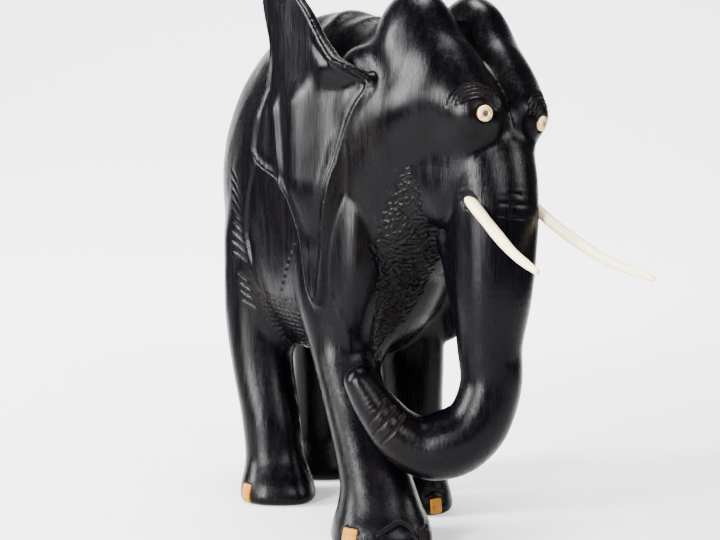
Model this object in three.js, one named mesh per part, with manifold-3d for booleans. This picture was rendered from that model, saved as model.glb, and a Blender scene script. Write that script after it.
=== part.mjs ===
// A carved ebony elephant with inlaid bone tusks, eyes and toenails, in mid stride with its
// trunk curled to its right. Millimetres, +Z up. The elephant faces -Y, so its own right side
// is at -X. The origin is on the ground, under the middle of the figure's box.
import * as THREE from "three";
import { mergeVertices } from "three/addons/utils/BufferGeometryUtils.js";
import Module from "manifold-3d";

const wasm = await Module();
wasm.setup();

// Driving dimensions.
const GAP = 0.3; // clearance between two pieces that touch
const SIDES = 16; // facets round a section

const BODY_X = -5; // the barrel sits a little to the right of the head
// square below 1 fills out the corners of its side outline; tilt lifts the chest end and drops
// the rump end.
const BARREL = { low: 98, high: 303, half: 53, front: -35, rear: 154, square: 0.62, tilt: 6 };

// Lumps of the body. Those of PAIRED are carved on both sides, at x and at -x.
const MIDDLE = {
  skull: { x: 0, y: -42, z: 228, half: 40, long: 34, tall: 46 },
  neck: { x: -2, y: -21, z: 215, half: 45, long: 40, tall: 74 },
  belly: { x: BODY_X, y: 45, z: 151, half: 46, long: 75, tall: 58 },
  chest: { x: -15, y: 0, z: 120, half: 15, long: 16, tall: 35 },
};
const PAIRED = {
  dome: { x: 20, y: -42, z: 268, half: 21, long: 27, tall: 33 },
  temple: { x: 24, y: -52, z: 243, half: 21, long: 34, tall: 24 },
  brow: { x: 17, y: -85, z: 231, half: 14, long: 14.5, tall: 14 },
  cheek: { x: 17, y: -62, z: 204, half: 14, long: 22, tall: 30 },
  ear_base: { x: 38, y: -14, z: 232, half: 14, long: 24, tall: 40 },
  shoulder: { x: 38, y: 2, z: 165, half: 15.5, long: 26, tall: 62 },
};
// The ridge that runs from a dome down to the brow: x, y, z and radius.
const RIDGE = [[20, -44, 268, 21], [18.5, -62, 258, 19], [16, -76, 244, 17], [15, -84, 235, 15]];

const EYE = { x: 20.4, y: -98.6, turn: 25, radius: 4, deep: 3, proud: 0.7 };
const EYE_HEIGHTS = { right: 231.4, left: 228.4 }; // the carver set them a little unlevel
const PUPIL = { radius: 1.3, deep: 1.6, proud: 0.2 };
const NAIL_THICK = 3.4;

// The tusks' middle lines: the heel of the tenon, hidden in the cheek, the place where the
// tusk comes out, and then on to the tip. The left one is longer.
const TUSK = { radius: 3.1, tip: 1.6 };
const TUSK_LINES = {
  right: [[-9, -72, 195], [-19, -86, 188.5], [-23, -107, 175.5], [-27, -128, 164],
    [-31, -149, 154.5]],
  left: [[9, -72, 195], [19, -86, 188], [24, -111, 171], [29.5, -136, 157.5],
    [34.5, -161.5, 149.5]],
};

// Each leg is a stack of oval sections: height, centre x, centre y, half width.
const LEG_OVAL = 1.08; // a section is this much longer than it is wide
const LEGS = {
  front_right: [
    [0, -36.5, -33, 25.6], [4, -36.5, -33, 27], [11, -36.5, -33, 26], [20, -36.4, -31.5, 22.8],
    [33, -36, -28, 20], [56, -35.5, -16.5, 18.6], [80, -34.5, -3, 18], [104, -34, 9, 18.4],
    [130, -33, 17, 21.5], [165, -30, 24, 23], [195, -26, 28, 20],
  ],
  front_left: [
    [0, 22.6, 15, 21.6], [4, 22.6, 15, 23], [11, 22.8, 15.5, 22], [20, 23, 16, 20],
    [33, 23.6, 17, 18.8], [60, 24, 19, 18.2], [90, 23, 21, 18.8], [130, 22, 23, 21.5],
    [165, 20, 25, 23], [195, 16, 27, 20],
  ],
  rear_right: [
    [0, -34.6, 81, 22], [4, -34.6, 81, 23.2], [11, -34.6, 82, 22.2], [20, -34.2, 84, 19.6],
    [30, -34, 86.5, 18], [52, -34, 91, 18.2], [84, -34, 101, 19.4], [112, -33, 105.5, 21.6],
    [145, -32, 106, 23], [170, -30, 106, 22], [195, -24, 100, 18],
  ],
  rear_left: [
    [0, 23, 120, 22], [4, 23, 120, 23.2], [11, 23, 120.4, 22.2], [20, 23, 121.2, 19.6],
    [30, 23, 122, 18], [52, 23, 121.5, 18.2], [84, 22.5, 119, 19.4], [112, 22, 115, 21.6],
    [145, 20, 112, 23], [170, 18, 108, 22], [195, 14, 102, 18],
  ],
};

// The trunk's middle line with its radius, from the brow down and round to the tip.
const TRUNK = [
  [0, -59, 232, 27], [1, -73, 212, 26.4], [1, -80, 190, 24.6], [1, -81.5, 165, 23.2],
  [1.5, -82, 140, 21.6], [2, -82.5, 112, 19.6], [0, -82, 90, 19.2], [-6, -79, 71, 19.4],
  [-17, -71, 59.5, 19], [-29, -62, 57, 16.6], [-41, -54.2, 65, 13.4], [-50.2, -46.8, 79, 11],
  [-56, -41.4, 91.5, 9], [-57.5, -39.5, 97.5, 6],
];

// The lower lip hangs along the back of the trunk.
const LIP = [[0, -47, 196, 24], [0, -57, 165, 13.5], [0.5, -62, 138, 11], [1, -65, 126, 8.5],
  [1.5, -68, 116, 4]];

// The right ear's edges: height, front edge y, rear edge y. The left ear mirrors it, with a
// shorter upper tip.
const EAR = [
  [129, 0.5, 4], [138, -2.5, 9], [155, -5, 12], [172, -8, 15], [188, -13, 19],
  [199, -16, 29], [208, -19, 47], [218, -22, 53.5], [235, -30, 49], [247, -39, 46.5],
  [257, -34, 43.5], [265, -23, 42], [276, -11, 40.5], [290, 0.5, 44.5], [303, 13.5, 48],
  [312, 24, 45], [317, 32, 39],
];
const EAR_ROOT = { x: 44, y: -38 }; // where the ear's front edge leaves the head
const EAR_SPREAD = 0.26; // sideways for each millimetre back from the root
const EAR_THICK = 7;
// Above the height from, the left ear rises this share of what the right one does.
const LEFT_TIP = { from: 240, share: 0.83 };

const TAIL = [
  [-5, 147, 244, 6.5], [-5, 155, 226, 6], [-4.5, 158, 200, 5], [-4, 157.5, 170, 4.4],
  [-3, 153, 142, 4.2], [-2, 147, 124, 6.2], [-1.5, 143.5, 112, 5], [-1.5, 142, 104, 2],
];

// ---- geometry helpers ----

// A closed geometry as a manifold-3d solid, once its vertices are welded.
function solid(geometry, matrix = new THREE.Matrix4()) {
  const bare = geometry.clone().applyMatrix4(matrix);
  bare.deleteAttribute("normal");
  bare.deleteAttribute("uv");
  const welded = mergeVertices(bare, 1e-4);
  return new wasm.Manifold(
    new wasm.Mesh({
      numProp: 3,
      vertProperties: welded.attributes.position.array,
      triVerts: Uint32Array.from(welded.index.array),
    }),
  );
}

// A solid as a named mesh with its own material.
function piece(name, made, look) {
  const { numProp, vertProperties, triVerts } = made.getMesh();
  const corners = new THREE.InterleavedBuffer(vertProperties, numProp);
  const geometry = new THREE.BufferGeometry();
  geometry.setAttribute("position", new THREE.InterleavedBufferAttribute(corners, 3, 0));
  geometry.setIndex(new THREE.BufferAttribute(triVerts, 1));
  const mesh = new THREE.Mesh(geometry, new THREE.MeshStandardMaterial(look));
  mesh.name = name;
  return mesh;
}

// A skin over a row of oval rings. A ring is { at, u, v }: its centre and its two half axes,
// with u, v and the way along the row right-handed. A cylinder is bent to follow the rings.
function loft(rings, sides = SIDES) {
  const skin = new THREE.CylinderGeometry(1, 1, 1, sides, rings.length - 1);
  const place = skin.attributes.position;
  for (let i = 0; i < place.count; i += 1) {
    const ring = rings[Math.round((0.5 - place.getY(i)) * (rings.length - 1))];
    const spot = ring.at.clone().addScaledVector(ring.u, place.getX(i));
    spot.addScaledVector(ring.v, place.getZ(i));
    place.setXYZ(i, spot.x, spot.y, spot.z);
  }
  return solid(skin);
}

function ellipsoid(x, y, z, halfX, halfY, halfZ) {
  const matrix = new THREE.Matrix4().makeTranslation(x, y, z);
  matrix.scale(new THREE.Vector3(halfX, halfY, halfZ));
  return solid(new THREE.SphereGeometry(1, SIDES, 9), matrix);
}

// A round tube with a changing radius along a smooth line through [x, y, z, radius] stations.
function taperedTube(stations, steps, sides = SIDES) {
  const line = new THREE.CatmullRomCurve3(stations.map(([x, y, z]) => new THREE.Vector3(x, y, z)));
  const rings = Array.from({ length: steps + 1 }, (_, i) => {
    const t = i / steps;
    const station = Math.min(Math.floor(t * (stations.length - 1)), stations.length - 2);
    const part = t * (stations.length - 1) - station;
    const radius = THREE.MathUtils.lerp(stations[station][3], stations[station + 1][3], part);
    const along = line.getTangent(t);
    const u = new THREE.Vector3(1, 0.3, 0).cross(along).setLength(radius);
    return { at: line.getPoint(t), u, v: along.clone().cross(u).setLength(radius) };
  });
  return loft(rings, sides);
}

function joined(solids) {
  return solids.reduce((whole, next) => whole.add(next));
}

// ---- the carved body ----

// The barrel: upright oval sections from the chest to the rump, on an oval side outline.
function barrel() {
  const { low, high, half, front, rear, square, tilt } = BARREL;
  const steps = 12;
  const end = 0.03; // the first and the last ring stop short of a point
  const rings = Array.from({ length: steps + 1 }, (_, i) => {
    const angle = Math.PI * THREE.MathUtils.lerp(end, 1 - end, i / steps);
    const swell = Math.sin(angle) ** square;
    const y = (front + rear) / 2 - ((rear - front) / 2) * Math.cos(angle);
    const rise = tilt * Math.cos(angle);
    return {
      at: new THREE.Vector3(BODY_X, y, (low + high) / 2 + rise * (1 - swell)),
      u: new THREE.Vector3(0, 0, ((high - low) / 2) * swell),
      v: new THREE.Vector3(half * swell, 0, 0),
    };
  });
  return loft(rings, 24);
}

function leg(sections) {
  const rings = sections.map(([z, x, y, half]) => ({
    at: new THREE.Vector3(x, y, z),
    u: new THREE.Vector3(half, 0, 0),
    v: new THREE.Vector3(0, half * LEG_OVAL, 0),
  }));
  return loft(rings);
}

// One ear: thin oval sections stacked from the lobe's tip to the upper tip. side is -1 or 1.
function ear(side) {
  const outward = (y) => side * (EAR_ROOT.x + EAR_SPREAD * (y - EAR_ROOT.y));
  const rings = EAR.map(([height, front, rear], i) => {
    const above = Math.max(height - LEFT_TIP.from, 0);
    const z = side > 0 ? height - above * (1 - LEFT_TIP.share) : height;
    const atTip = i === 0 || i === EAR.length - 1;
    const middle = new THREE.Vector3((outward(front) + outward(rear)) / 2, (front + rear) / 2, z);
    const edge = new THREE.Vector3(outward(rear), rear, z).sub(middle);
    const halfThick = (EAR_THICK / 2) * (atTip ? 0.8 : 1);
    const across = new THREE.Vector3(-edge.y, edge.x, 0).setLength(halfThick);
    return { at: middle, u: edge, v: across };
  });
  return loft(rings, 12);
}

// The rounded lumps that fill out the head, the shoulders, the chest and the belly.
function lumps() {
  const rounded = ({ x, y, z, half, long, tall }, side) =>
    ellipsoid(side * x, y, z, half, long, tall);
  const made = [taperedTube(LIP, 8, 14)];
  for (const lump of Object.values(MIDDLE)) made.push(rounded(lump, 1));
  for (const side of [-1, 1]) {
    for (const lump of Object.values(PAIRED)) made.push(rounded(lump, side));
    made.push(taperedTube(RIDGE.map(([x, y, z, radius]) => [side * x, y, z, radius]), 6, 16));
  }
  return joined(made);
}

// ---- the inlays ----

// A turned disc or peg on the Y axis, its face at y = 0 and looking along -Y, with a
// slightly domed face. hole bores a blind seat for the pupil.
function disc(radius, deep, dome, hole = 0, holeDeep = 0) {
  const profile = [new THREE.Vector2(0, -deep), new THREE.Vector2(radius, -deep)];
  profile.push(new THREE.Vector2(radius, -dome));
  profile.push(new THREE.Vector2(hole ? (radius + hole) / 2 : radius * 0.6, -dome * 0.25));
  if (hole) {
    profile.push(new THREE.Vector2(hole, 0), new THREE.Vector2(hole, -holeDeep));
    profile.push(new THREE.Vector2(0, -holeDeep));
  } else {
    profile.push(new THREE.Vector2(0, 0));
  }
  return new THREE.LatheGeometry(profile, 20).rotateX(Math.PI); // its axis, +Y, now looks ahead
}

// The frame of an eye: on the brow, turned outwards from straight ahead.
function eyeFrame(side, z, proud) {
  const turn = THREE.MathUtils.degToRad(EYE.turn) * side;
  const ahead = new THREE.Vector3(Math.sin(turn), -Math.cos(turn), 0);
  const spot = new THREE.Vector3(side * EYE.x, EYE.y, z).addScaledVector(ahead, proud);
  return new THREE.Matrix4().makeRotationZ(turn).setPosition(spot);
}

function eyes(side, z) {
  const clear = 4; // the seat's cutter stands this far out of the brow
  const eye = disc(EYE.radius, EYE.deep, 0.8, PUPIL.radius + GAP, PUPIL.deep + GAP);
  const pupil = disc(PUPIL.radius, PUPIL.deep, 0.2);
  const seat = disc(EYE.radius + GAP, EYE.deep + GAP + clear, 0);
  return {
    eye: solid(eye, eyeFrame(side, z, EYE.proud)),
    pupil: solid(pupil, eyeFrame(side, z, EYE.proud + PUPIL.proud)),
    seat: solid(seat, eyeFrame(side, z, clear)),
  };
}

// A tusk tapers along its curve. grow makes the cutter of its socket a little fatter.
function tusk(word, grow) {
  const line = TUSK_LINES[word];
  const stations = line.map((spot, i) => {
    const taper = (i / (line.length - 1)) ** 2;
    return [...spot, THREE.MathUtils.lerp(TUSK.radius, TUSK.tip, taper) + grow];
  });
  return taperedTube(stations, 14, 12);
}

// Toenail plaques: foot, heading in degrees (0 is straight ahead, 90 is to the elephant's
// right), lower edge, width and height.
const NAILS = {
  nail_front_right_outer: ["front_right", 72, 2.6, 8.4, 10.8],
  nail_front_left_front: ["front_left", 6, 1.8, 6.6, 8.6],
  nail_front_left_outer: ["front_left", -85, 2, 7, 9],
  nail_rear_right_outer: ["rear_right", 84, 1.8, 7.2, 10.4],
  nail_rear_left_outer: ["rear_left", -86, 2, 7.2, 10],
};
// The seat on the front of the right forefoot is empty.
const LOST_NAIL = ["front_right", -14, 2, 8.4, 10.8];

// A plaque, upright on the rim of its foot. grow makes the cutter of its seat a little larger.
function nailBlock([foot, heading, low, wide, tall], grow) {
  const [, x, y, half] = LEGS[foot][1];
  const turn = THREE.MathUtils.degToRad(-heading);
  const size = [wide, NAIL_THICK, tall].map((length) => length + 2 * grow);
  const rim = half * Math.hypot(Math.sin(turn), LEG_OVAL * Math.cos(turn));
  const reach = rim + 0.5 - NAIL_THICK / 2;
  const matrix = new THREE.Matrix4().makeTranslation(x, y, 0);
  matrix.multiply(new THREE.Matrix4().makeRotationZ(turn));
  matrix.multiply(new THREE.Matrix4().makeTranslation(0, -reach, low + tall / 2));
  return solid(new THREE.BoxGeometry(...size), matrix);
}

// ---- assembly ----

const EBONY = { color: 0x1c1a1d, roughness: 0.32, metalness: 0 };
const BONE = { color: 0xeee3c8, roughness: 0.45, metalness: 0 };
const DARK_HORN = { color: 0x2a1a10, roughness: 0.5, metalness: 0 };
const OLD_BONE = { color: 0xd9b271, roughness: 0.5, metalness: 0 };

const elephant = new THREE.Group();
const cuts = [];

for (const [side, word] of [[-1, "right"], [1, "left"]]) {
  const { eye, pupil, seat } = eyes(side, EYE_HEIGHTS[word]);
  elephant.add(piece(`eye_${word}`, eye, BONE), piece(`pupil_${word}`, pupil, DARK_HORN));
  elephant.add(piece(`tusk_${word}`, tusk(word, 0), BONE));
  cuts.push(seat, tusk(word, GAP));
}
for (const [name, nail] of Object.entries(NAILS)) {
  elephant.add(piece(name, nailBlock(nail, 0), OLD_BONE));
  cuts.push(nailBlock(nail, GAP));
}
cuts.push(nailBlock(LOST_NAIL, 0));

const carved = joined([
  barrel(),
  lumps(),
  taperedTube(TRUNK, 26),
  ...Object.values(LEGS).map(leg),
  ear(-1),
  ear(1),
  taperedTube(TAIL, 14, 10),
]);
const body = cuts.reduce((rest, cut) => rest.subtract(cut), carved);
elephant.add(piece("body", body, EBONY));

export default elephant;
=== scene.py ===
import math

import bpy
import numpy as np
import openvdb
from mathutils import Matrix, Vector


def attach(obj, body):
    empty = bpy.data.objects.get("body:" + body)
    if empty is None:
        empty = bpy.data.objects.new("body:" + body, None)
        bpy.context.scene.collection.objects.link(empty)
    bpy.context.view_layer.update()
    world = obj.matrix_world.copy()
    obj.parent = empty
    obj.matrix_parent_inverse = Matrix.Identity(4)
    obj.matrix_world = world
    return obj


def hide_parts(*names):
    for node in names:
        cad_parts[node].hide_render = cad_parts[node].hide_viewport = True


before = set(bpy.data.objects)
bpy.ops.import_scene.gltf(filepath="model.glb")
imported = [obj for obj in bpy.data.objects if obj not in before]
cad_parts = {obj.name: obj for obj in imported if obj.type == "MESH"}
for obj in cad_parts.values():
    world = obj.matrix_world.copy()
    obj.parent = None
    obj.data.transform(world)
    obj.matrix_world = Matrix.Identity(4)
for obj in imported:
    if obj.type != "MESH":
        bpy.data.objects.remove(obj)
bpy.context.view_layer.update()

# ------------------------------------------------------------------ body
# Head, trunk, ears, legs and tail are one block of ebony, roughed out with a gouge,
# scraped, then waxed. The chest and the belly keep the gouge marks; brow, trunk and
# hips are cut with a V tool.

# The form comes first, as signed distances in millimetres, with the soles at z 0. The elephant
# faces -y and its own right side is at -x. FAR is how far off a shape stops being worked out.
FAR = 45.0
BODY_X = -5.0
BARREL = dict(low=98.0, high=303.0, half=53.0, front=-35.0, rear=154.0)
BARREL_SQUARE = 1.613  # 1 would be a plain oval from the side and from above
BARREL_NARROW = 0.1  # share of the width lost towards the line of the back
LEG_OVAL = 1.08
LEG_SQUARE = 2.7  # 2 would be an ellipse
LEG_TURN = math.radians(35)  # turn of the sections
SOLE_ROUND = 3.0
# Rounded lumps: centre and half axes. The shoulder, dome, temple, brow, cheek and ear base
# are on both sides.
SHOULDER = ((38, 2, 165), (15.5, 26, 62))
BELLY = ((-5, 45, 150), (46, 75, 58))
CHEST = ((-17, 2, 124), (11, 14, 30))
SKULL = ((0, -42, 228), (40, 34, 46))
NECK = ((-2, -21, 215), (45, 40, 74))
DOME = ((20, -42, 268), (21, 27, 33))
TEMPLE = ((24, -52, 239), (20.5, 34, 22))
BROW = ((17, -85, 231), (14, 14.5, 14))
CHEEK = ((17, -62, 204), (14, 22, 30))
EAR_BASE = ((38, -14, 232), (14, 24, 40))
LEFT_SLIM = 2.2  # on the left, the paired lumps of the head lie this much further in
# Legs, from the sole up: z, x, y and half width.
LEGS = {
    "front_right": [
        (0, -36.5, -33, 25.6), (4, -36.5, -33, 27), (11, -36.5, -33, 26),
        (20, -36.4, -31.5, 22.8), (33, -36, -28, 20), (56, -35.5, -16.5, 18.6),
        (80, -34.5, -3, 18), (104, -34, 9, 18.4), (130, -33, 17, 21.5),
        (165, -30, 24, 23), (195, -26, 28, 20)],
    "front_left": [
        (0, 22.6, 15, 21.6), (4, 22.6, 15, 23), (11, 22.8, 15.5, 22),
        (20, 23, 16, 20), (33, 23.6, 17, 18.8), (60, 24, 19, 18.2),
        (90, 24.3, 20.6, 19.6), (112, 23.8, 21.2, 20.2), (130, 21.6, 22, 19.8),
        (165, 20, 25, 23), (195, 16, 27, 20)],
    "rear_right": [
        (0, -34.6, 81, 22), (4, -34.6, 81, 23.2), (11, -34.6, 82, 22.2),
        (20, -34.2, 84, 19.6), (30, -34, 86.5, 18), (52, -34, 91, 18.2),
        (84, -34, 101, 19.4), (112, -33, 105.5, 21.6), (145, -32, 106, 23),
        (170, -30, 106, 22), (195, -24, 100, 18)],
    "rear_left": [
        (0, 23, 120, 22), (4, 23, 120, 23.2), (11, 23, 120.4, 22.2),
        (20, 23, 121.2, 19.6), (30, 23, 122, 18), (52, 23, 121.5, 18.2),
        (84, 22.5, 119, 19.4), (112, 22, 115, 21.6), (145, 20, 112, 23),
        (170, 18, 108, 22), (195, 14, 102, 18)],
}
# How soft the fillet is where each leg joins the body.
LEG_BLEND = {"front_right": 10, "front_left": 5, "rear_right": 12, "rear_left": 12}
# Trunk, lower lip, tail, and the ridge from a dome to the brow: x, y, z and radius.
TRUNK = [
    (0, -59, 232, 27), (1, -73, 212, 26.4), (1, -80, 190, 24.6),
    (1, -81.5, 165, 23.2), (0.4, -82, 140, 21.2), (-0.4, -81, 112, 17.4),
    (0.2, -81.5, 90, 16.4), (-7.5, -79, 69.5, 16.8), (-18, -71, 59.5, 18.2),
    (-29, -62, 57, 16.6), (-41, -54.2, 65, 13.4), (-50.2, -46.8, 79, 11),
    (-56, -41.4, 91.5, 9)]
LIP = [
    (0, -47, 196, 24), (0, -57, 165, 13.5), (0.5, -62, 138, 11),
    (1, -65, 126, 8.5), (1.5, -68, 116, 4)]
TAIL = [
    (-5, 147, 244, 6.5), (-5, 155, 226, 6), (-4.5, 158, 200, 5),
    (-4, 157.5, 170, 4.4), (-3, 153, 142, 4.2), (-2, 147, 124, 6.2),
    (-1.5, 143.5, 112, 5), (-1.5, 142, 104, 2)]
RIDGE = [(20, -44, 268, 21), (18.5, -62, 258, 19), (16, -76, 244, 17), (15, -84, 235, 15)]
# Outline of the ears, from the lobe up: z, y of the front edge, y of the rear edge.
EAR = [
    (129, 0.5, 4), (138, -2.5, 9), (155, -5, 12), (172, -8, 15),
    (188, -13, 19), (199, -16, 29), (208, -19, 47), (218, -22, 53.5),
    (235, -30, 49), (247, -39, 46.5), (257, -34, 43.5), (265, -23, 42),
    (276, -11, 40.5), (290, 0.5, 44.5), (303, 13.5, 48), (312, 24, 45),
    (317, 32, 39)]
EAR_ROOT = (44.0, -38.0)  # x and y where the ear leaves the head
EAR_SPREAD = 0.26  # sideways for each millimetre back from the root
EAR_THICK = 6.4
EAR_ROUND = 1.6  # rounding of the rim
LEFT_TIP = (240, 1.2)  # above this z the left ear is lower, by this factor


def spline(rows, steps):
    """A Catmull-Rom curve through the rows, with that many steps to a span."""
    rows = np.array(rows, float)
    ends = np.vstack([2 * rows[0] - rows[1], rows, 2 * rows[-1] - rows[-2]])
    t = (np.arange(steps) / steps)[:, None]
    out = []
    for a, b, c, d in zip(ends, ends[1:], ends[2:], ends[3:]):
        out.append(0.5 * (2 * b + (c - a) * t + (2 * a - 5 * b + 4 * c - d) * t**2
                          + (3 * b - a - 3 * c + d) * t**3))
    return np.vstack([*out, rows[-1:]])


def union(a, b, soft):
    """Both shapes, with the corner between them filled to a soft fillet."""
    fillet = np.maximum(soft - np.abs(a - b), 0) / soft
    return np.minimum(a, b) - fillet * fillet * soft / 4


def near(p, low, high, shape):
    """The shape's distance at the points by its box, and FAR at the others."""
    reach = FAR / 2
    inside = np.all((p > np.array(low) - reach) & (p < np.array(high) + reach), axis=1)
    out = np.full(len(p), FAR)
    if inside.any():
        out[inside] = shape(p[inside])
    return out


def ellipsoid(p, centre, radii):
    """A rounded lump."""
    centre, radii = np.array(centre, float), np.array(radii, float)

    def shape(q):
        q = (q - centre) / radii
        a = np.linalg.norm(q, axis=1)
        b = np.linalg.norm(q / radii, axis=1)
        return a * (a - 1) / np.maximum(b, 1e-6)

    return near(p, centre - radii, centre + radii, shape)


def limb(p, rows, steps=4):
    """A round limb along the rows of x, y, z and radius."""
    rows = spline(rows, steps)

    def shape(q):
        out = np.full(len(q), FAR)
        for a, b in zip(rows, rows[1:]):
            along = b[:3] - a[:3]
            t = np.clip((q - a[:3]) @ along / (along @ along), 0, 1)
            away = np.linalg.norm(q - a[:3] - t[:, None] * along, axis=1)
            out = np.minimum(out, away - a[3] - t * (b[3] - a[3]))
        return out

    r = rows[:, 3:]
    return near(p, (rows[:, :3] - r).min(0), (rows[:, :3] + r).max(0), shape)


def barrel(p):
    """The barrel: an oval in section, and fuller than one from the side and from above."""
    mid = (BARREL["front"] + BARREL["rear"]) / 2
    long = (BARREL["rear"] - BARREL["front"]) / 2
    tall = (BARREL["high"] - BARREL["low"]) / 2
    z0 = (BARREL["high"] + BARREL["low"]) / 2
    x = p[:, 0] - BODY_X
    t = (p[:, 1] - mid) / long
    z = p[:, 2] - z0
    half = BARREL["half"] * (1 - BARREL_NARROW * np.clip(z / tall, 0, 1) ** 2)
    g = (x / half) ** 2 + (z / tall) ** 2 + 1e-9
    f = g**BARREL_SQUARE + t**2
    slope = BARREL_SQUARE * g ** (BARREL_SQUARE - 1)
    grad = np.sqrt((slope * 2 * x / half**2) ** 2 + (slope * 2 * z / tall**2) ** 2
                   + (2 * t / long) ** 2)
    root = np.sqrt(f)
    return np.clip((root - 1) * 2 * root / np.maximum(grad, 1e-5), -FAR, FAR)


def leg(p, rows):
    """A leg of rounded square sections, with a rounded edge to its sole."""
    rows = spline(rows, 5)
    low = (rows[:, 1:3] - rows[:, 3:] * LEG_OVAL).min(0)
    high = (rows[:, 1:3] + rows[:, 3:] * LEG_OVAL).max(0)

    def shape(q):
        x, y, r = (np.interp(q[:, 2], rows[:, 0], rows[:, k]) for k in (1, 2, 3))
        dx, dy = q[:, 0] - x, (q[:, 1] - y) / LEG_OVAL
        a = np.abs(dx * math.cos(LEG_TURN) - dy * math.sin(LEG_TURN))
        b = np.abs(dx * math.sin(LEG_TURN) + dy * math.cos(LEG_TURN))
        side = (a**LEG_SQUARE + b**LEG_SQUARE) ** (1 / LEG_SQUARE) - r
        side = -union(-side, q[:, 2], SOLE_ROUND)
        return np.maximum(side, q[:, 2] - rows[-1, 0])

    return near(p, (*low, 0), (*high, rows[-1, 0]), shape)


EAR_CURVE = spline(EAR, 3)
EAR_EDGE = np.vstack([EAR_CURVE[:, [1, 0]], EAR_CURVE[::-1, [2, 0]]])


def edge_distance(y, z, edge):
    """Distance in the y-z plane to a closed outline, negative inside."""
    best = np.full(len(y), 1e9)
    inside = np.zeros(len(y), bool)
    for (ay, az), (by, bz) in zip(edge, np.roll(edge, -1, axis=0)):
        dy, dz = by - ay, bz - az
        size = dy * dy + dz * dz
        if size < 1e-9:
            continue
        t = np.clip(((y - ay) * dy + (z - az) * dz) / size, 0, 1)
        best = np.minimum(best, (y - ay - t * dy) ** 2 + (z - az - t * dz) ** 2)
        if dz != 0:
            crosses = (az > z) != (bz > z)
            inside ^= crosses & (y < ay + (z - az) * dy / dz)
    return np.where(inside, -1, 1) * np.sqrt(best)


def bump(v, centre, width):
    """1 at the centre, fading to 0 on both sides."""
    return np.exp(-((v - centre) / width) ** 2)


def ramp(v, a, b):
    """0 up to a, 1 from b on, and smooth between them."""
    t = np.clip((v - a) / (b - a), 0, 1)
    return t * t * (3 - 2 * t)


# How far the ear bows out, from its front edge to its rear one: y and millimetres.
EAR_BOW = spline([(-50, 0), (-34, 0), (-22, 0.5), (-9, 5.0), (-4, 6.3), (1, 7.1), (5, 7.3),
                  (9, 7.0), (14, 6.0), (27, 2.8), (38, 0.6), (50, -1.4), (60, -2.4)], 6)
EAR_TWIST = 0.23  # the flap above the fold turns its rear edge in, round y 25


def ear(p, side):
    """One ear: a leaf-shaped plate, bowed below a fold, with a flap above it and a raised rim."""

    def shape(q):
        x, y, z = side * q[:, 0], q[:, 1].copy(), q[:, 2].copy()
        if side > 0:
            z = np.where(z > LEFT_TIP[0], LEFT_TIP[0] + (z - LEFT_TIP[0]) * LEFT_TIP[1], z)
        edge = edge_distance(y, z, EAR_EDGE)
        mid = EAR_ROOT[0] + EAR_SPREAD * (y - EAR_ROOT[1])
        fold = 255 - 0.17 * (y - 5)
        low = ramp(z, 160, 200)
        under = 1 - ramp(z, fold - 13, fold + 4)
        bow = np.interp(y - 0.03 * (z - 220), EAR_BOW[:, 0], EAR_BOW[:, 1]) * low * under
        bow -= EAR_TWIST * (y - 25) * (1 - under)
        crease = 1.5 * bump(y, 27 - 0.12 * (230 - z), 3.0) * low * under
        ahead = 1 - ramp(y, -8, 4)
        rim = (0.4 + 1.2 * ahead) * bump(edge, -2.0, 1.6)
        groove = (0.3 + 0.9 * ahead) * bump(edge, -6.0, 2.4)
        relief = crease + (rim - groove) * (1 - ramp(z, 262, 280))
        out = x - mid - bow - relief * ramp(-edge, 0, 2.5)
        thick = EAR_THICK / 2
        face = np.maximum(out - thick, -out - thick) / math.hypot(1, EAR_SPREAD)
        a, b = edge + EAR_ROUND, face + EAR_ROUND
        corner = np.hypot(np.maximum(a, 0), np.maximum(b, 0))
        return np.minimum(np.maximum(a, b), 0) + corner - EAR_ROUND

    low, high = EAR_EDGE.min(0), EAR_EDGE.max(0)
    x0, x1 = sorted((side * 40, side * 75))
    return near(p, (x0, low[0], low[1]), (x1, high[0], high[1]), shape)


def head(p):
    """Skull, neck, and on each side a dome, its ridge, temple, brow, cheek and ear base."""
    slim = LEFT_SLIM * ramp(p[:, 0], 2, 14)
    q = np.column_stack([np.abs(p[:, 0]) + slim, p[:, 1], p[:, 2]])
    out = ellipsoid(p, *SKULL)
    out = union(out, ellipsoid(p, *NECK), 14)
    crown = union(ellipsoid(q, *DOME), limb(q, RIDGE, 10), 7)
    crown = union(crown, ellipsoid(q, *TEMPLE), 12)
    crown = union(crown, ellipsoid(q, *BROW), 9)
    out = union(out, ellipsoid(q, *CHEEK), 10)
    out = union(out, crown, 4 + 10 * ramp(q[:, 0], 6, 18) * (1 - ramp(p[:, 2], 240, 262)))
    return union(out, ellipsoid(q, *EAR_BASE), 12)


def form(p):
    """Signed distance to the smooth form, before the knife work."""
    q = np.column_stack([np.abs(p[:, 0]), p[:, 1], p[:, 2]])
    out = union(barrel(p), ellipsoid(p, *BELLY), 14)
    out = union(out, ellipsoid(q, *SHOULDER), 12)
    out = union(out, ellipsoid(p, *CHEST), 8)
    for name, rows in LEGS.items():
        out = union(out, leg(p, rows), LEG_BLEND[name])
    nose = union(limb(p, LIP), limb(p, TRUNK, 7), 5)
    high = ramp(p[:, 2], 185, 225)
    top = union(head(p), nose, 2.5 + 5 * high)
    out = union(out, top, 3 + 7 * high)
    for side in (-1, 1):
        out = union(out, ear(p, side), 4)
    return union(out, limb(p, TAIL), 4)


def gradient(field, p, step=0.4):
    """Which way the distance grows fastest at each point, and how fast."""
    out = np.empty_like(p)
    for k in range(3):
        move = np.zeros(3)
        move[k] = step
        out[:, k] = field(p + move) - field(p - move)
    return out / (2 * step)


def settle(field, p, rounds):
    """Brings the points onto the surface."""
    for _ in range(rounds):
        g = gradient(field, p)
        p = p - g * (field(p) / np.maximum((g * g).sum(1), 0.05))[:, None]
    return p


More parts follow.
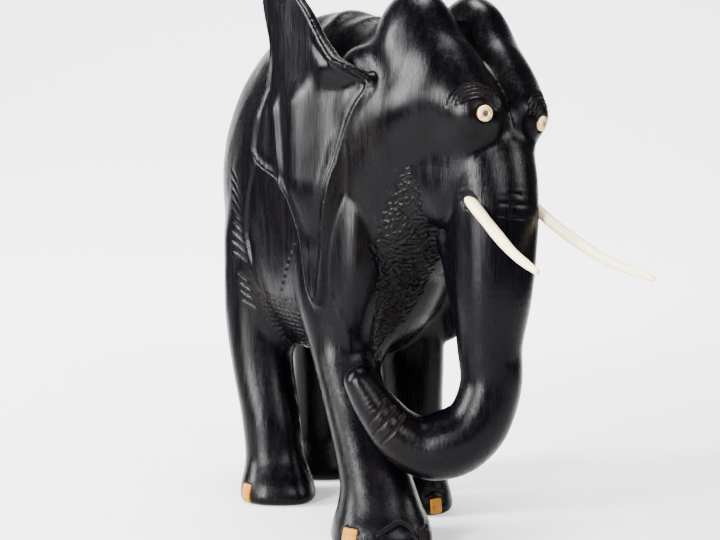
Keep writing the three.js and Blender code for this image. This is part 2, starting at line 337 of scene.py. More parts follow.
def refine(p, tris, size, rounds):
    """Splits the triangle edges that are long for the size wanted there."""
    for _ in range(rounds):
        edges = np.sort(np.vstack([tris[:, [0, 1]], tris[:, [1, 2]], tris[:, [2, 0]]]), axis=1)
        key, back = np.unique(edges[:, 0] * len(p) + edges[:, 1], return_inverse=True)
        a, b = key // len(p), key % len(p)
        mid = (p[a] + p[b]) / 2
        long = np.linalg.norm(p[a] - p[b], axis=1) > 1.45 * size(mid)
        if not long.any():
            break
        number = np.full(len(key), -1)
        number[long] = len(p) + np.arange(long.sum())
        p = np.vstack([p, mid[long]])
        e = number[back].reshape(3, -1).T
        made = []
        count = (e >= 0).sum(1)
        made.append(tris[count == 0])
        for turn in range(3):
            t, m = np.roll(tris, -turn, axis=1), np.roll(e, -turn, axis=1)
            one = (count == 1) & (m[:, 0] >= 0)
            t1, m1 = t[one], m[one]
            made += [np.column_stack([t1[:, 0], m1[:, 0], t1[:, 2]]),
                     np.column_stack([m1[:, 0], t1[:, 1], t1[:, 2]])]
            two = (count == 2) & (m[:, 2] < 0)
            t2, m2 = t[two], m[two]
            made += [np.column_stack([m2[:, 0], t2[:, 1], m2[:, 1]]),
                     np.column_stack([t2[:, 0], m2[:, 0], m2[:, 1]]),
                     np.column_stack([t2[:, 0], m2[:, 1], t2[:, 2]])]
        t3, m3 = tris[count == 3], e[count == 3]
        made += [np.column_stack([t3[:, 0], m3[:, 0], m3[:, 2]]),
                 np.column_stack([m3[:, 0], t3[:, 1], m3[:, 1]]),
                 np.column_stack([m3[:, 2], m3[:, 1], t3[:, 2]]), m3]
        tris = np.vstack(made)
    return p, tris


def rough_mesh(field, low, high, voxel):
    """A first skin of even triangles over the form, from a grid of distances."""
    axes = [np.arange(a, b, voxel) for a, b in zip(low, high)]
    values = np.empty([len(a) for a in axes])
    yz = np.array(np.meshgrid(axes[1], axes[2], indexing="ij")).reshape(2, -1).T
    block = 8  # sheets of the grid worked out at a time
    for i in range(0, len(axes[0]), block):
        xs = axes[0][i:i + block]
        p = np.column_stack([np.repeat(xs, len(yz)), np.tile(yz, (len(xs), 1))])
        values[i:i + block] = field(p).reshape(len(xs), *values.shape[1:])
    band = 3.0  # voxels to each side of the skin
    grid = openvdb.FloatGrid(background=band)
    grid.copyFromArray(np.clip(values / voxel, -band, band).astype(np.float32))
    points, quads = grid.convertToQuads(isovalue=0)
    quads = quads.astype(np.int64)
    return points * voxel + np.array(low, float), np.vstack([quads[:, :3], quads[:, [0, 2, 3]]])


# Next come the seats of the inlays and the knife cuts. Each cut is a row of x, y and z that is
# laid on the form. Eyes: their centres.
EYES = {"right": (-20.6, -98.3, 231.4), "left": (18.2, -98.0, 228.2)}
LEFT_EYE_ASKEW = 0.25  # the left eye was set a little askew, outwards
EYE_TURN = 25  # the brow arcs face this many degrees outwards from straight ahead

# Toenails: foot, heading (0 ahead, 90 to the right), lower edge, width and height.
NAILS = {
    "front_right_outer": ("front_right", 72, 2.6, 8.4, 10.8),
    "front_left_front": ("front_left", 6, 1.8, 6.6, 8.6),
    "front_left_outer": ("front_left", -85, 2.0, 7.0, 9.0),
    "rear_right_outer": ("rear_right", 84, 1.8, 7.2, 10.4),
    "rear_left_outer": ("rear_left", -86, 2.0, 7.2, 10.0),
}
LOST_NAIL = ("front_right", -14, 2.0, 8.4, 10.8)


def nail_frame(foot, heading, low, tall):
    """The middle of a nail on its foot, and the ways across it and out of it."""
    row = LEGS[foot][1]
    turn = math.radians(-heading)
    out = np.array((math.sin(turn), -math.cos(turn), 0.0))
    across = np.array((-out[1], out[0], 0.0))
    spot = np.array((row[1], row[2], 0.0)) + out * row[3] * math.hypot(out[0], LEG_OVAL * out[1])
    spot[2] = low + tall / 2
    return spot, across, out


def leaf_edge():
    """The sunken leaf shape on each flank, between the ear and the thigh."""
    rows = [(72, 212), (82, 190), (88, 169), (85, 150), (80, 132), (66, 122),
            (40, 120), (12, 128), (8, 145), (14, 165), (16, 188), (28, 203), (48, 209)]
    return spline(rows + rows[:1], 3)[:-1]


LEAF = leaf_edge()


def eye_seats():
    """Where each eye sits on the form, and the way it faces."""
    seats = {}
    for word, centre in EYES.items():
        place = settle(form, np.array([centre], float), 5)
        facing = gradient(form, place, 2.0)[0]
        if word == "left":
            facing[0] += LEFT_EYE_ASKEW
        seats[word] = (place[0], facing / np.linalg.norm(facing))
    return seats


EYE_SEATS = eye_seats()

# Brow arcs over each eye: radius, and the degrees at which the cut starts and ends.
BROW_ARCS = ((8.4, 20, 140), (11.2, 18, 155), (13.8, 20, 162), (16.2, 40, 166))


def brow_lines():
    """Arched cuts, one above the other, over each eye."""
    lines = []
    turn = math.radians(EYE_TURN)
    for word, centre in EYES.items():
        side = -1 if word == "right" else 1
        across = np.array((side * math.cos(turn), math.sin(turn), 0))
        middle = np.array(centre) + across * 3.0
        for radius, start, end in BROW_ARCS:
            angles = np.radians(np.linspace(start, end, 7))
            lines.append([middle - across * radius * math.cos(t) * 1.08
                          + np.array((0, 1.5, radius * 0.96 * math.sin(t))) for t in angles])
    return lines


def tick_lines():
    """V cuts on each side: two rows down the hip, and a slanting row of stitches in the leaf."""
    lines = []
    for side in (-1, 1):
        for k in range(9):
            y, z = 106 - 1.0 * k, 207 - 6.3 * k
            lines.append([(side * 54, y, z), (side * 56, y - 6, z - 2.5), (side * 56, y - 12, z - 7)])
        for k in range(4):
            z = 143 - 5.5 * k
            lines.append([(side * 54, 95 - k, z), (side * 50, 87 - k, z - 6)])
        for k in range(9):
            t = k / 8
            x, y, z = 55 - 12 * t, 28 + 27 * t, 161 - 32 * t
            lines.append([(side * x, y - 1.6, z + 1.2), (side * x, y + 1.8, z - 1.2)])
    return lines


# Cuts across the trunk, rings round its tip, arched cuts over the toes, and ridges that are
# left standing on the right legs.
TRUNK_LINES = [
    [(-7, -103, 191.5), (0, -105, 190.5)],
    [(-12, -101, 186.5), (-3, -104, 185.5), (6, -104, 185)],
    [(-13, -100, 180.5), (-3, -104, 179), (8, -103.5, 178.5)],
    [(-4, -104, 104), (3, -103, 103.5), (9, -100, 103)],
]
TIP_RINGS = [
    [(-57, -52, 71.5), (-55.8, -53.8, 74.2), (-54, -55, 77), (-52.4, -55.3, 79.6), (-50.5, -55, 82)],
    [(-55.5, -53.5, 66), (-53.5, -56, 69.2), (-51, -57.5, 72.5), (-48.8, -57.8, 75.6),
     (-46.5, -57.5, 78.5)],
    [(-53, -56.5, 61), (-50.6, -59.2, 64.8), (-48, -61, 68.5), (-45.3, -61.5, 71.8),
     (-42.5, -61.5, 75)],
]
TOE_LINES = [
    [(-53, -54, 11), (-48, -57, 15), (-43, -57.5, 16.5), (-39, -59, 14.5), (-35, -61, 8)],
    [(-30, -60, 8), (-26, -58, 13), (-20, -55, 14), (-15, -51, 8)],
    [(14, -8, 12.5), (20, -9, 15.5), (27, -8, 12.5)],
]
CRESTS = [
    [(-32, -11, 140), (-29, -9, 120), (-28, -12, 104), (-28.5, -16, 88)],
    [(-41, -5, 136), (-41, -7, 122), (-40, -9, 106)],
    [(-20, 66, 100), (-17, 68, 80), (-18, 66, 52), (-17, 60, 25), (-12, 58, 10)],
]


def chest_strokes(random):
    """Short curved gouge cuts, from a point under the jaw down between the forelegs."""
    left = spline([(203, -37, -52), (190, -37.5, -42), (172, -37, -31), (153, -34.5, -17),
                   (132, -31, -10), (110, -29, -8), (96, -27, -9)], 4)[::-1]
    right = spline([(203, -36, -55), (188, -29, -58), (170, -15, -55), (151, -6, -42),
                    (131, -9, -20), (115, -17, -6), (96, -21, -4)], 4)[::-1]
    lines = []
    z = 205.0
    while z > 97:
        a, b = (np.array([np.interp(z, r[:, 0], r[:, k]) for k in (1, 2)]) for r in (left, right))
        wide = np.linalg.norm(b - a)
        for s in np.arange(random.uniform(0, 3.2), wide + 0.1, 3.4):
            xy = a + (b - a) * (s + random.uniform(-0.8, 0.8)) / max(wide, 1)
            along = (b - a) / max(wide, 1)
            turn = random.uniform(-0.8, 0.8)
            half = random.uniform(1.4, 2.8)
            bow = random.uniform(0.4, 1.8)
            zz = z + random.uniform(-0.9, 0.9)
            lines.append([(*(xy + along * half * t), zz + half * t * turn - bow * (1 - t * t))
                          for t in (-1, 0, 1)])
        z -= 2.5
    return lines


def belly_strokes(random):
    """Rows of short gouge cuts under the right flank, each dipping to the rear."""
    lines = []
    for z in np.arange(130, 98, -2.6):
        for y in np.arange(22 + 0.6 * abs(z - 118), 84, 3.8):
            y0 = y + random.uniform(-1.2, 1.2)
            x = -48 + (130 - z) * 0.75
            half = random.uniform(1.4, 2.4)
            lines.append([(x, y0 - half, z + 0.6), (x, y0, z - 0.4), (x, y0 + half, z - 1.4)])
    return lines


def carve(p, lines, wide, deep):
    """How deep the knife goes at each point, from lines that fade at both ends."""
    out = np.zeros(len(p))
    flat = np.vstack([np.array(line, float) for line in lines])
    laid = settle(form, flat, 3)
    start = 0
    for line in lines:
        rows = laid[start:start + len(line)]
        start += len(line)
        rows = spline(rows, 4)
        near_it = np.all((p > rows.min(0) - wide) & (p < rows.max(0) + wide), axis=1)
        if not near_it.any():
            continue
        q = p[near_it]
        spans = np.linalg.norm(np.diff(rows, axis=0), axis=1)
        total = spans.sum()
        best, where, done = np.full(len(q), 1e9), np.zeros(len(q)), 0.0
        for a, b, span in zip(rows, rows[1:], spans):
            t = np.clip((q - a) @ (b - a) / max(span * span, 1e-9), 0, 1)
            d = np.linalg.norm(q - a - t[:, None] * (b - a), axis=1)
            closer = d < best
            best[closer], where[closer] = d[closer], (done + t * span)[closer] / total
            done += span
        fade = np.clip(4 * where * (1 - where) + 0.15, 0, 1) ** 0.5
        v = deep * fade * np.clip(1 - best / wide, 0, 1) ** 1.3
        out[near_it] = np.maximum(out[near_it], v)
    return out


# How deep the wood is cut away for the inlays, the gap round a nail, and where a tusk goes in.
NAIL_SEAT, EYE_SEAT, TUSK_SEAT = 1.6, 1.2, 0.9
NAIL_GAP = 0.35
TUSK_HOLE = (21.5, -88.5, 187.5)


def pockets(p):
    """The seats cut for the nails and the eyes, and the hole round each tusk."""
    out = np.zeros(len(p))
    for foot, heading, low, wide, tall in [*NAILS.values(), LOST_NAIL]:
        spot, across, _ = nail_frame(foot, heading, low, tall)
        q = p - spot
        a = np.abs(q @ across) - wide / 2 - NAIL_GAP
        b = np.abs(q[:, 2]) - tall / 2 - NAIL_GAP
        near_it = np.linalg.norm(q, axis=1) < tall
        out = np.maximum(out, NAIL_SEAT * ramp(-np.maximum(a, b), -0.25, 0.35) * near_it)
    holes = [(place, EYE_SEAT, 4.25, 4.9) for place, _ in EYE_SEATS.values()]
    holes += [(np.array(TUSK_HOLE) * (side, 1, 1), TUSK_SEAT, 3.4, 4.8) for side in (-1, 1)]
    for place, deep, bottom, rim in holes:
        away = np.linalg.norm(p - place, axis=1)
        out = np.maximum(out, deep * (1 - ramp(away, bottom, rim)))
    return out


# Half width and depth of each kind of cut, half width and height of a ridge, and how far the
# leaf is sunk.
STROKE_CUT = (1.05, 1.0)
BROW_CUT = (1.15, 1.15)
TICK_CUT = (1.2, 0.85)
RING_CUT = (1.25, 1.5)
TRUNK_CUT = (1.0, 0.6)
TOE_CUT = (1.4, 1.3)
CREST_RISE = (2.6, 1.3)
LEAF_SUNK = 2.2


def knife(p):
    """Height of the surface over the form in millimetres, and how dusty its cuts are."""
    random = np.random.default_rng(7)
    height = np.zeros(len(p))
    flank = (np.abs(p[:, 0] - BODY_X) > 30) & (p[:, 2] > 100) & (p[:, 2] < 216) & (p[:, 1] > 0)
    on_ear = np.minimum(ear(p, -1), ear(p, 1)) < 1.0
    leaf = np.zeros(len(p))
    use = flank & ~on_ear
    leaf[use] = ramp(-edge_distance(p[use, 1], p[use, 2], LEAF), 0.0, 3.0)
    height -= LEAF_SUNK * leaf * ramp(p[:, 2], 120, 165)
    strokes = chest_strokes(random) + belly_strokes(random)
    strokes += [[(-x, y, z) for x, y, z in line] for line in strokes
                if line[0][2] > 150 or line[0][1] > 30]
    rings = carve(p, TIP_RINGS, *RING_CUT)
    seats = pockets(p)
    cuts = np.maximum.reduce([
        carve(p, strokes, *STROKE_CUT), carve(p, brow_lines(), *BROW_CUT),
        carve(p, tick_lines(), *TICK_CUT), rings, carve(p, TRUNK_LINES, *TRUNK_CUT),
        carve(p, TOE_LINES, *TOE_CUT), seats])
    height -= cuts
    height += carve(p, CRESTS, *CREST_RISE)
    # The scraper leaves the wood faintly uneven, and the nape is wrinkled.
    x, y, z = p.T
    height += 0.16 * np.sin(x / 4.3 + 1.3 * np.sin(z / 19.1)) * np.sin(y / 5.1 + np.sin(z / 17.7))
    height += 0.05 * np.sin(z / 3.7 + 2 * np.sin(y / 8.3)) * np.sin((x + y) / 3.9)
    nape = ramp(z, 284, 294) * ramp(y, -12, 0) * (1 - ramp(y, 60, 90)) * (np.abs(x - BODY_X) < 46)
    height += 1.5 * nape * np.sin(y / 4.2 + 0.8 * np.sin(x / 7)) * np.cos(x / 9.5 + y / 21)
    # Wax and dust gather in the cuts, and most of all in the rings of the tip.
    return height, np.clip(cuts / 1.1 - 0.35 * (rings <= 0) * (cuts > 0), 0, 1)


# Last, the skin.
VOXEL = 2.8
FINE = 1.0
# Finely carved places: centre, reach and triangle size.
FINE_PLACES = [
    ((-20, -92, 238), 19, 0.75), ((20, -92, 236), 19, 0.75), ((0, -104, 184), 14, 1.0),
    ((-51, -56, 72), 15, 0.55), ((-45, -58, 10), 12, 0.9), ((-22, -55, 8), 11, 1.1),
    ((22, -9, 9), 12, 0.9), ((-57, -28, 8), 9, 0.9), ((-57, 80, 8), 9, 0.9),
    ((48, 15, 8), 9, 1.2), ((47, 120, 8), 9, 1.2), ((-22, -85, 190), 8, 0.8),
    ((22, -85, 190), 8, 0.8),
]


def size_wanted(p):
    """The triangle size wanted at each point."""
    size = np.full(len(p), VOXEL)
    x, y, z = p.T
    size[(y < -40) & (z > 120)] = 2.0
    size[z < 24] = 1.9
    on_ear = (np.abs(x) > 43) & (y < 60) & (z > 125)
    edge = np.abs(edge_distance(y[on_ear], z[on_ear], EAR_EDGE))
    size[on_ear] = np.where(edge < 7, 1.2, 1.9)
    chest = (np.abs(x) < 40) & (y > -62) & (y < 6) & (z > 94) & (z < 207)
    size[chest] = 1.15
    size[chest & (x < 0)] = 0.85
    hips = (np.abs(x - BODY_X) > 38) & (y > 24) & (y < 112) & (z > 120) & (z < 214)
    size[hips] = 1.9
    size[hips & (x < 0) & ((y > 78) | (z < 165))] = 1.1
    belly = (np.abs(x) < 52) & (y > 18) & (y < 86) & (z > 96) & (z < 133)
    size[belly] = np.where(x[belly] < 0, 1.1, 1.6)
    for centre, reach, fine in FINE_PLACES:
        here = np.linalg.norm(p - centre, axis=1) < reach
        size[here] = np.minimum(size[here], fine)
    return size * FINE


def add_piece(name, points, faces, finish, node, slot, smooth=True):
    """A piece of the figure from points in millimetres. It stands in for the node."""
    mesh = bpy.data.meshes.new(name)
    mesh.from_pydata((np.array(points) / 1000).tolist(), [], faces)
    mesh.polygons.foreach_set("use_smooth", [smooth] * len(mesh.polygons))
    mesh.update()
    piece = bpy.data.objects.new(name, mesh)
    bpy.context.scene.collection.objects.link(piece)
    piece.data.materials.append(finish)
    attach(piece, "root")
    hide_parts(node)
    return piece


def start_finish(name):
    """A new material, its node tree and its shader. The nodes made next go into that tree."""
    finish = bpy.data.materials.new(name)
    finish.use_nodes = True
    return finish, finish.node_tree, finish.node_tree.nodes["Principled BSDF"]


def make(kind, **values):
    """A node in the material in hand, with its values."""
    node = tree.nodes.new("ShaderNode" + kind)
    for word, value in values.items():
        node.inputs[word.replace("_", " ")].default_value = value
    return node


def feed(value, socket):
    """Gives a socket a number, a colour or another node's output."""
    if isinstance(value, (float, tuple)):
        socket.default_value = value
    else:
        tree.links.new(value, socket)


def noise(scale, stretch, detail=3.0, rough=0.6):
    """A noise texture over the piece, with its own stretch along each axis."""
    mapping = make("Mapping", Scale=stretch)
    texture = make("TexNoise", Scale=scale, Detail=detail, Roughness=rough)
    feed(make("TexCoord").outputs["Object"], mapping.inputs["Vector"])
    feed(mapping.outputs["Vector"], texture.inputs["Vector"])
    return texture.outputs["Fac"]


def spread(value, low, high, to_low, to_high, smooth=False):
    """Turns the range from low to high into another one."""
    node = make("MapRange", From_Min=low, From_Max=high, To_Min=to_low, To_Max=to_high)
    if smooth:
        node.interpolation_type = "SMOOTHSTEP"
    feed(value, node.inputs["Value"])
    return node.outputs["Result"]


def mixed(share, first, second):
    """The first colour, with that share of the second."""
    node = make("Mix")
    node.data_type = "RGBA"
    feed(share, node.inputs[0])
    feed(first, node.inputs[6])
    feed(second, node.inputs[7])
    return node.outputs[2]


def worked(how, *values):
    """A sum, a product and the like."""
    node = make("Math")
    node.operation = how
    for value, socket in zip(values, node.inputs):
        feed(value, socket)
    return node.outputs[0]


def fine_relief(shader, height, strength, deep):
    """Relief finer than the mesh, deep metres at most."""
    node = make("Bump", Strength=strength, Distance=deep)
    feed(height, node.inputs["Height"])
    feed(node.outputs["Normal"], shader.inputs["Normal"])


# Blue-black and brown-black heartwood, paler fibres, and the dust in the cuts.
BLACK, BROWN = (0.0004, 0.0003, 0.0008, 1), (0.0012, 0.0006, 0.0007, 1)
FIBRE, DUST = (0.003, 0.0016, 0.0013, 1), (0.007, 0.0038, 0.0026, 1)
ebony, tree, shader = start_finish("ebony")
shader.inputs["Specular IOR Level"].default_value = 0.07
fibres = noise(1.0, (1500, 1500, 45), 4.0, 0.7)
bands = noise(1.0, (260, 260, 14), 3.0, 0.6)
patches = noise(28.0, (1, 1, 0.6), 3.0, 0.6)
dusty = make("Attribute")
dusty.attribute_name = "dust"
wood = mixed(spread(patches, 0.5, 0.75, 0.0, 1.0), BLACK, BROWN)
wood = mixed(spread(fibres, 0.62, 0.8, 0.0, 0.4), wood, FIBRE)
wood = mixed(worked("MULTIPLY", dusty.outputs["Fac"], 0.6), wood, DUST)
feed(wood, shader.inputs["Base Color"])
gloss = worked("ADD", spread(bands, 0.3, 0.7, 0.13, 0.27), spread(fibres, 0.35, 0.7, 0.0, 0.14))
gloss = worked("ADD", gloss, worked("MULTIPLY", dusty.outputs["Fac"], 0.35))
feed(gloss, shader.inputs["Roughness"])
fine_relief(shader, worked("ADD", fibres, worked("MULTIPLY", bands, 1.6)), 0.5, 0.0002)

points, tris = rough_mesh(form, (-76, -108, -4), (76, 172, 324), VOXEL)
points = settle(form, points, 2)
points, tris = refine(points, tris, size_wanted, 4)
points = settle(form, points, 2)
slope = gradient(form, points)
slope /= np.maximum(np.linalg.norm(slope, axis=1), 0.05)[:, None]
height, dust = knife(points)
height[points[:, 2] < 0.4] = 0  # the soles stay flat
points = points + slope * height[:, None]
points[:, 2] = np.maximum(points[:, 2], 0)
body = add_piece("elephant_body", points, tris.tolist(), ebony, "body", "ebony")
mark = body.data.attributes.new("dust", "FLOAT", "POINT")
mark.data.foreach_set("value", dust.astype(np.float32))

# ------------------------------------------------------------------ tusks
# Two carved bone tusks, each a little flattened by the knife, glued in drilled sockets.
# Their middle lines run from the heel of the tenon, hidden in the head, to the tip.
TUSK_LINES = {
    "right": [(-9, -72, 195), (-19, -86, 188.5), (-23, -107, 174.6), (-27, -128, 162.6),
              (-31, -149, 154.5)],
    "left": [(9, -72, 195), (19, -86, 188), (24, -111, 171), (29.5, -136, 157.5),
             (34.5, -161.5, 149.5)],
}
TUSK_SEEDS = {"right": 3, "left": 4}
TUSK_WHERE, TUSK_RADII = (0, 0.2, 0.6, 0.9, 1), (3.1, 3.1, 2.9, 2.1, 1.5)
TUSK_FLAT = 0.94  # width against height
TIP_LENGTH = 0.9  # the tip stands this far past the last ring
bone, tree, shader = start_finish("tusk_bone")
cloudy = noise(60.0, (1, 0.3, 1), 3.0, 0.6)
pores = noise(900.0, (1, 0.15, 1), 2.0, 0.7)
tint = mixed(spread(cloudy, 0.35, 0.7, 0.0, 1.0), (0.68, 0.585, 0.40, 1), (0.60, 0.46, 0.27, 1))
tint = mixed(spread(pores, 0.6, 0.75, 0.0, 0.5), tint, (0.55, 0.40, 0.24, 1))
feed(tint, shader.inputs["Base Color"])
feed(spread(cloudy, 0.3, 0.7, 0.28, 0.45), shader.inputs["Roughness"])
shader.inputs["Subsurface Weight"].default_value = 0.15
shader.inputs["Subsurface Radius"].default_value = (0.004, 0.003, 0.002)
fine_relief(shader, pores, 0.4, 0.0003)


def tube_faces(rings, count):
    """The side faces of a tube of rings, each with count points."""
    faces = []
    for k in range(rings - 1):
        for j in range(count):
            a, b = k * count + j, k * count + (j + 1) % count
            faces.append((a, b, b + count, a + count))
    return faces


for word, rows in TUSK_LINES.items():
    centre = spline(rows, 12)
    radii = np.interp(np.linspace(0, 1, len(centre)), TUSK_WHERE, TUSK_RADII)
    ways = np.gradient(centre, axis=0)
    ways /= np.linalg.norm(ways, axis=1)[:, None]
    ring, tusk_points = 20, []
    random = np.random.default_rng(TUSK_SEEDS[word])
    phase = random.uniform(0, 6.28, 4)
    for k, (c, w, r) in enumerate(zip(centre, ways, radii)):
        across = np.cross(w, (0, 0, 1))
        across /= np.linalg.norm(across)
        up = np.cross(across, w)
        for j in range(ring):
            t = 2 * math.pi * j / ring
            facet = 1 + 0.035 * math.sin(3 * t + phase[0] + 0.05 * k)
            facet += 0.025 * math.sin(0.5 * k + phase[1] + 2 * t)
            out = math.cos(t) * across * TUSK_FLAT + math.sin(t) * up
            tusk_points.append(c + r * facet * out)
    tusk_faces = tube_faces(len(centre), ring)
    last = (len(centre) - 1) * ring
    heel = last + ring
    tusk_points += [centre[0], centre[-1] + ways[-1] * TIP_LENGTH]
    for j in range(ring):
        tusk_faces.append((last + j, last + (j + 1) % ring, heel + 1))
        tusk_faces.append(((j + 1) % ring, j, heel))
    add_piece("bone_tusk_" + word, tusk_points, tusk_faces, bone, "tusk_" + word, "tusk_bone")

# ------------------------------------------------------------------ eyes
# Each eye is a turned bone disc, drilled in the middle and sunk into the brow, with a
# small dark horn peg in the hole for the pupil.
# Profiles, from the back round the rim to the middle: radius and height over the brow.
DISC = [(3.9, -3.0), (4.0, -0.4), (3.95, 0.3), (3.7, 0.62), (3.1, 0.8), (2.3, 0.9),
        (1.75, 0.86), (1.55, 0.6), (1.5, -1.6)]
PEG = [(1.42, -1.5), (1.42, 0.45), (1.2, 0.62), (0.6, 0.7), (0.15, 0.72)]
eye_bone, tree, shader = start_finish("eye_bone")
cloudy = noise(420.0, (1, 1, 1), 3.0, 0.6)
tint = mixed(spread(cloudy, 0.42, 0.68, 0.0, 1.0), (0.52, 0.38, 0.17, 1), (0.20, 0.085, 0.02, 1))
feed(tint, shader.inputs["Base Color"])
feed(spread(cloudy, 0.3, 0.7, 0.25, 0.42), shader.inputs["Roughness"])
horn, tree, shader = start_finish("pupil_horn")
grain = noise(1800.0, (1, 1, 1), 2.0, 0.6)
feed(mixed(grain, (0.006, 0.003, 0.002, 1), (0.03, 0.012, 0.006, 1)), shader.inputs["Base Color"])
feed(spread(grain, 0.3, 0.7, 0.25, 0.5), shader.inputs["Roughness"])


def turned(profile, centre, facing, wobble, seed):
    """Points and faces of a piece turned from a profile, slightly out of round."""
    random = np.random.default_rng(seed)
    across = np.cross(facing, (0, 0, 1))
    across /= np.linalg.norm(across)
    up = np.cross(across, facing)
    phase = random.uniform(0, 6.28, 3)
    count, points = 48, []
    for radius, high in profile:
        for j in range(count):
            t = 2 * math.pi * j / count
            r = 1 + wobble * math.sin(2 * t + phase[0]) + 0.6 * wobble * math.sin(5 * t + phase[1])
            out = math.cos(t) * across + math.sin(t) * up
            points.append(centre + facing * high + radius * r * out)
    faces = tube_faces(len(profile), count)
    faces.append(tuple(range(count))[::-1])
    faces.append(tuple(range((len(profile) - 1) * count, len(profile) * count)))
    return points, faces


for word, (place, facing) in EYE_SEATS.items():
    seed = len(word)
    add_piece("bone_eye_" + word, *turned(DISC, place, facing, 0.018, seed), eye_bone,
              "eye_" + word, "eye_bone")
    add_piece("horn_pupil_" + word, *turned(PEG, place, facing, 0.03, seed), horn,
              "pupil_" + word, "pupil_horn")

# ------------------------------------------------------------------ nails
# Sawn slips of old bone, golden with age, let into the rims of the feet.
NAIL_PROUD, NAIL_DEEP = 0.8, 2.4  # out of the rim, and into the foot
nail_bone, tree, shader = start_finish("nail_bone")
saw = noise(1.0, (500, 500, 2200), 3.0, 0.7)
cloudy = noise(160.0, (1, 1, 1), 3.0, 0.6)
tint = mixed(spread(cloudy, 0.35, 0.65, 0.0, 1.0), (0.27, 0.13, 0.020, 1), (0.21, 0.085, 0.009, 1))
tint = mixed(spread(saw, 0.5, 0.66, 0.0, 0.85), tint, (0.12, 0.04, 0.002, 1))
feed(tint, shader.inputs["Base Color"])
feed(spread(saw, 0.3, 0.7, 0.3, 0.55), shader.inputs["Roughness"])
shader.inputs["Specular IOR Level"].default_value = 0.06
fine_relief(shader, saw, 0.6, 0.0002)


def slip_faces(steps):
    """Faces of a slip: a front grid of steps by steps points, a back one and the edges."""
    back = steps * steps
    faces = []
    for j in range(steps - 1):
        for i in range(steps - 1):
            a = j * steps + i
            faces.append((a, a + 1, a + 1 + steps, a + steps))
            a += back
            faces.append((a, a + steps, a + 1 + steps, a + 1))
    end = steps - 1
    edge = [(0, i) for i in range(end)] + [(j, end) for j in range(end)]
    edge += [(end, i) for i in range(end, 0, -1)] + [(j, 0) for j in range(end, 0, -1)]
    ring = [j * steps + i for j, i in edge]
    for a, b in zip(ring, ring[1:] + ring[:1]):
        faces.append((a, a + back, b + back, b))
    return faces


for word, (foot, heading, low, wide, tall) in NAILS.items():
    spot, across, out = nail_frame(foot, heading, low, tall)
    random = np.random.default_rng(len(word) + int(wide * 10))
    tilt = 0.25 if word == "front_left_front" else 0
    steps = 9
    front, rim = [], []
    for b in np.linspace(-1, 1, steps):
        for a in np.linspace(-1, 1, steps):
            skew = 1 + 0.05 * b + random.uniform(-0.012, 0.012)
            front.append(spot + across * a * skew * wide / 2
                         + np.array((0, 0, b * tall / 2 + tilt * a)))
            rim.append(max(abs(a), abs(b)))
    front = settle(form, np.array(front), 4)
    proud = NAIL_PROUD - 0.3 * ramp(np.array(rim), 0.75, 1.0)
    proud += random.uniform(-0.05, 0.05, len(rim))
    slip = np.vstack([front + out * proud[:, None], front - out * NAIL_DEEP])
    add_piece("bone_nail_" + word, slip, slip_faces(steps), nail_bone, "nail_" + word,
              "nail_bone", smooth=False)

# ------------------------------------------------------------------ floor
# A pale paper sweep that the figure stands on, curving up behind it. It glows a little,
# more towards the back, as if lit by lamps of its own.
SWEEP = [(-0.7, 0.0), (0.0, 0.0), (0.5, 0.0), (0.9, 0.03), (1.5, 0.2), (2.1, 0.6), (2.5, 1.3),
         (2.6, 3.0)]
SWEEP_HALF, SWEEP_WIDENS = 0.6, 0.36  # half the width in metres, and its gain per metre
PAPER_DROP = 0.0001  # the paper lies this far below the soles
sweep_turn = math.radians(34.7)
sweep_line = spline(SWEEP, 8)
sweep_points = []
for distance, up in sweep_line:
    half_width = SWEEP_HALF + SWEEP_WIDENS * max(distance, 0)
    for across in (-half_width, half_width):
        sweep_points.append((
            distance * math.sin(sweep_turn) + across * math.cos(sweep_turn),
            distance * math.cos(sweep_turn) - across * math.sin(sweep_turn), up - PAPER_DROP))
sweep_faces = [(2 * k, 2 * k + 1, 2 * k + 3, 2 * k + 2) for k in range(len(sweep_line) - 1)]
floor_mesh = bpy.data.meshes.new("floor")
floor_mesh.from_pydata(sweep_points, [], sweep_faces)
floor_mesh.polygons.foreach_set("use_smooth", [True] * len(floor_mesh.polygons))
floor = bpy.data.objects.new("floor", floor_mesh)
bpy.context.scene.collection.objects.link(floor)
paper, tree, shader = start_finish("paper")
shader.inputs["Base Color"].default_value = (0.66, 0.65, 0.66, 1)
shader.inputs["Roughness"].default_value = 0.8
shader.inputs["Emission Color"].default_value = (1, 0.985, 0.985, 1)
turned_place = make("VectorRotate", Angle=sweep_turn)
turned_place.rotation_type = "Z_AXIS"
feed(make("TexCoord").outputs["Object"], turned_place.inputs["Vector"])
split = make("SeparateXYZ")
feed(turned_place.outputs["Vector"], split.inputs["Vector"])
aside = worked("MULTIPLY_ADD", split.outputs["Y"], -SWEEP_WIDENS,
               worked("ABSOLUTE", split.outputs["X"]))
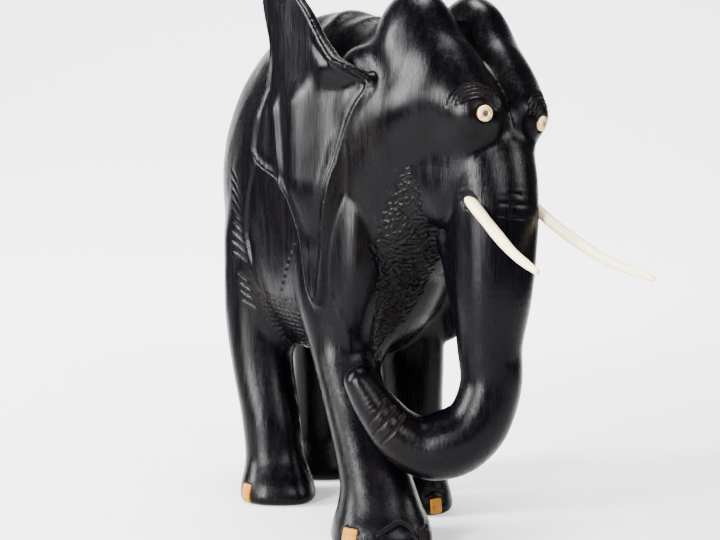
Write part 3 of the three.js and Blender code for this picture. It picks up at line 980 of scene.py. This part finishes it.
glow = worked("MULTIPLY", spread(split.outputs["Y"], -0.2, 1.2, 0.35, 2.8, smooth=True),
              spread(aside, 0.23, 0.5, 1.0, 0.0, smooth=True))
feed(glow, shader.inputs["Emission Strength"])
floor.data.materials.append(paper)

# ------------------------------------------------------------------ light
# A dim room with soft boxes: an upright one and a low wide one on the left, a narrow one
# near them, one over the top, and two small ones in front.
world = bpy.data.worlds.new("room")
bpy.context.scene.world = world
world.use_nodes = True
room = world.node_tree.nodes["Background"]
room.inputs["Color"].default_value = (0.9, 0.93, 1, 1)
room.inputs["Strength"].default_value = 0.2


def soft_box(name, place, aim, wide, tall, power):
    data = bpy.data.lights.new(name, "AREA")
    data.shape = "RECTANGLE"
    data.size, data.size_y = wide, tall
    data.energy = power
    box = bpy.data.objects.new(name, data)
    box.location = place
    box.rotation_euler = (Vector(aim) - Vector(place)).to_track_quat("-Z", "Y").to_euler()
    bpy.context.scene.collection.objects.link(box)


soft_box("left_box", (-1.3, 0.73, 0.86), (0, 0, 0.22), 0.36, 1.0, 130)
soft_box("low_box", (-1.45, 0.38, 0.43), (0, 0, 0.22), 0.7, 0.24, 15)
soft_box("side_box", (-1.4, -0.42, 0.42), (0, 0, 0.12), 0.24, 0.75, 100)
soft_box("top_box", (0.05, 0.1, 1.7), (0, 0, 0.1), 0.6, 0.6, 60)
soft_box("front_box", (-0.42, -1.25, 0.66), (0, 0, 0.2), 0.22, 0.42, 18)
soft_box("right_box", (0.85, -1.15, 0.7), (0, 0, 0.2), 0.25, 0.6, 22)

# ------------------------------------------------------------------ camera
# At the height of the figure's shoulder, in front of it and to its right.
camera_data = bpy.data.cameras.new("camera")
camera_data.lens = 57.5
camera_data.sensor_width = 36
camera = bpy.data.objects.new("camera", camera_data)
camera.location = (-0.4014, -0.5396, 0.188)
heading, pitch = math.radians(34.7), math.radians(3.48)
look = Vector((math.sin(heading) * math.cos(pitch), math.cos(heading) * math.cos(pitch),
               -math.sin(pitch)))
camera.rotation_euler = look.to_track_quat("-Z", "Y").to_euler()
bpy.context.scene.collection.objects.link(camera)
bpy.context.scene.camera = camera
